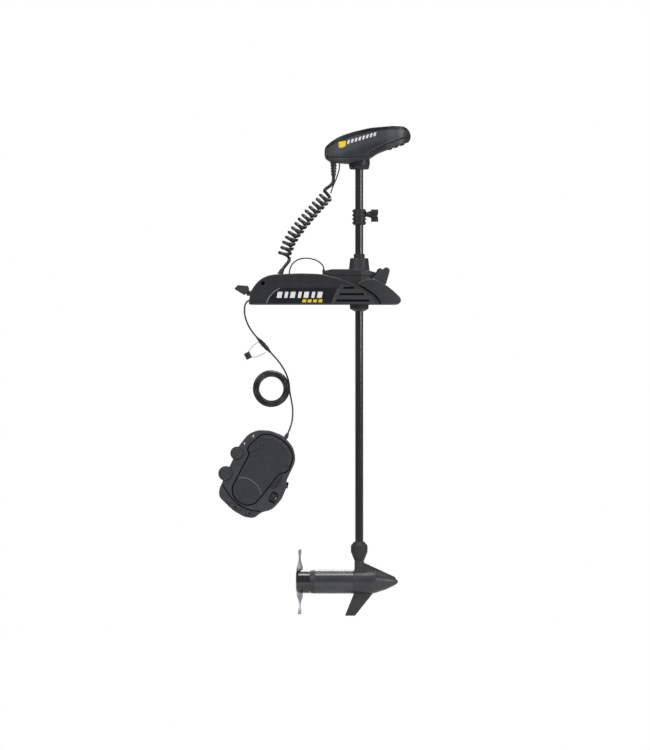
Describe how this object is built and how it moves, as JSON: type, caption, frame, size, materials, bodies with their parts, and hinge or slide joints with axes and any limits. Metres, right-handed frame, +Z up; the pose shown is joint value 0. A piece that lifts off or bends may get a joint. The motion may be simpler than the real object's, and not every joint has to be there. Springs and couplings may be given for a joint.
{
  "type": "trolling motor",
  "caption": "Bow-mount electric trolling motor: tilting deck mount, steering housing, long shaft, control head, lower unit with propeller, and a tethered foot pedal.",
  "frame": {"origin": "centre of the mount's underside, where it sits on the deck", "axes": "+Z up along the deployed shaft, +X towards the bow and past the ramps, +Y to the far side of the mount from the foot pedal"},
  "size_m": [0.6419, 0.261, 1.6388],
  "materials": {
    "black_plastic": "satin moulded",
    "charcoal_plastic": "fine textured",
    "grey_plastic": "satin moulded",
    "treadle_rubber": "soft ribbed",
    "rubber": "matt",
    "cord_jacket": "smooth",
    "connector_plastic": "semi-gloss",
    "composite_shaft": "gloss",
    "black_aluminium": "satin powder coat",
    "steel": "brushed",
    "gear_plastic": "machined",
    "motor_steel": "phosphated",
    "board_green": "solder resist"
  },
  "bodies": {
    "root": {"base_extrusion": "black_aluminium", "side_covers": "black_plastic", "ramps": "grey_plastic", "end_cap": "black_plastic", "jack_plug": "rubber", "stub_pins": "steel", "cover_screws": "steel", "curly_boot": "rubber", "pedal_base": "charcoal_plastic", "pedal_shell": "charcoal_plastic", "pedal_boot": "rubber", "treadle_pin": "steel", "pedal_cord_upper": "cord_jacket", "pedal_cord_mid": "cord_jacket", "pedal_cord_coil": "cord_jacket", "pedal_cord_lower": "cord_jacket", "connector_socket": "connector_plastic", "connector_plug": "connector_plastic", "connector_cap": "rubber", "cap_lanyards": "cord_jacket", "curly_cord": "cord_jacket", "curly_tail_upper": "cord_jacket", "curly_tail_lower": "cord_jacket", "head_lead": "cord_jacket", "sense_cable": "cord_jacket"},
    "housing": {"housing_lower": "black_plastic", "housing_cover": "black_plastic", "lower_bushing": "black_plastic", "steer_motor": "motor_steel"},
    "pinion": {"drive_pinion": "gear_plastic"},
    "sleeve": {"drive_sleeve": "gear_plastic", "gear_wheel": "gear_plastic"},
    "shaft": {"shaft_tube": "composite_shaft", "depth_collar": "charcoal_plastic", "shaft_bumper": "rubber", "head_base": "charcoal_plastic", "head_cover": "charcoal_plastic", "circuit_board": "board_green", "head_strain_relief": "rubber", "nose_housing": "black_aluminium", "motor_housing": "black_aluminium", "rear_housing": "black_plastic", "field_magnets": "motor_steel", "brush_holder": "motor_steel"},
    "knob": {"depth_knob": "charcoal_plastic"},
    "lever": {"stow_lever": "grey_plastic"},
    "keys": {"head_keys": "rubber"},
    "rotor": {"armature": "motor_steel", "prop_shaft": "steel", "propeller": "composite_shaft", "prop_nut": "steel"},
    "treadle": {"treadle": "treadle_rubber"},
    "bar_button": {"bar_button": "treadle_rubber"},
    "speed_wheel": {"speed_wheel": "charcoal_plastic"},
    "front_pad": {"front_pad": "treadle_rubber"},
    "rear_pad": {"rear_pad": "treadle_rubber"},
    "left_heel_button": {"left_heel_button": "charcoal_plastic"},
    "right_heel_button": {"right_heel_button": "charcoal_plastic"}
  },
  "joints": [
    {"name": "stow", "type": "hinge", "parent": "root", "child": "housing", "pos_m": [0.053, 0, 0.07], "axis": [0, -1, 0], "range_deg": [0, 90], "deforming": ["curly_cord", "curly_tail_upper", "curly_tail_lower", "head_lead", "sense_cable"]},
    {"name": "steer", "type": "hinge", "parent": "housing", "child": "sleeve", "pos_m": [0.115, 0, 0.1], "axis": [0, 0, 1], "range_deg": [-180, 180], "deforming": ["curly_cord", "curly_tail_upper", "curly_tail_lower", "head_lead"]},
    {"name": "pinion_turn", "type": "hinge", "parent": "housing", "child": "pinion", "pos_m": [0.073, 0, 0.073], "axis": [0, 0, 1], "range_deg": [-540, 540]},
    {"name": "depth", "type": "slide", "parent": "sleeve", "child": "shaft", "axis": [0, 0, 1], "range_m": [-0.095, 0.75], "deforming": ["curly_cord", "curly_tail_upper", "curly_tail_lower", "head_lead"]},
    {"name": "depth_knob_turn", "type": "hinge", "parent": "shaft", "child": "knob", "pos_m": [0.15, 0, 0.3025], "axis": [1, 0, 0], "range_deg": [0, 360]},
    {"name": "lever_press", "type": "hinge", "parent": "housing", "child": "lever", "pos_m": [0.168, 0, 0.084], "axis": [0, 1, 0], "range_deg": [0, 15], "stiffness_Nm_per_rad": 4},
    {"name": "key_press", "type": "slide", "parent": "shaft", "child": "keys", "axis": [-0.3335, 0, 0.9428], "range_m": [0, 0.001], "stiffness_N_per_m": 400},
    {"name": "prop_spin", "type": "hinge", "parent": "shaft", "child": "rotor", "pos_m": [0.03, 0, -0.928], "axis": [1, 0, 0], "continuous": true},
    {"name": "treadle_rock", "type": "hinge", "parent": "root", "child": "treadle", "pos_m": [-0.226, -0.15, -0.565], "axis": [-0.9063, 0, 0.4226], "range_deg": [-7, 7]},
    {"name": "bar_press", "type": "slide", "parent": "treadle", "child": "bar_button", "axis": [0, 1, 0], "range_m": [0, 0.0015], "stiffness_N_per_m": 200},
    {"name": "speed_turn", "type": "hinge", "parent": "root", "child": "speed_wheel", "pos_m": [-0.17064, -0.152, -0.64267], "axis": [-0.9063, 0, 0.4226], "range_deg": [0, 270]},
    {"name": "front_pad_press", "type": "slide", "parent": "root", "child": "front_pad", "axis": [0, 1, 0], "range_m": [0, 0.003], "stiffness_N_per_m": 400},
    {"name": "rear_pad_press", "type": "slide", "parent": "root", "child": "rear_pad", "axis": [0, 1, 0], "range_m": [0, 0.003], "stiffness_N_per_m": 400},
    {"name": "left_heel_button_press", "type": "slide", "parent": "root", "child": "left_heel_button", "axis": [0, 1, 0], "range_m": [0, 0.002], "stiffness_N_per_m": 300},
    {"name": "right_heel_button_press", "type": "slide", "parent": "root", "child": "right_heel_button", "axis": [0, 1, 0], "range_m": [0, 0.002], "stiffness_N_per_m": 300}
  ],
  "couplings": [
    {"joint": "pinion_turn", "follows": "steer", "ratio": -3}
  ]
}
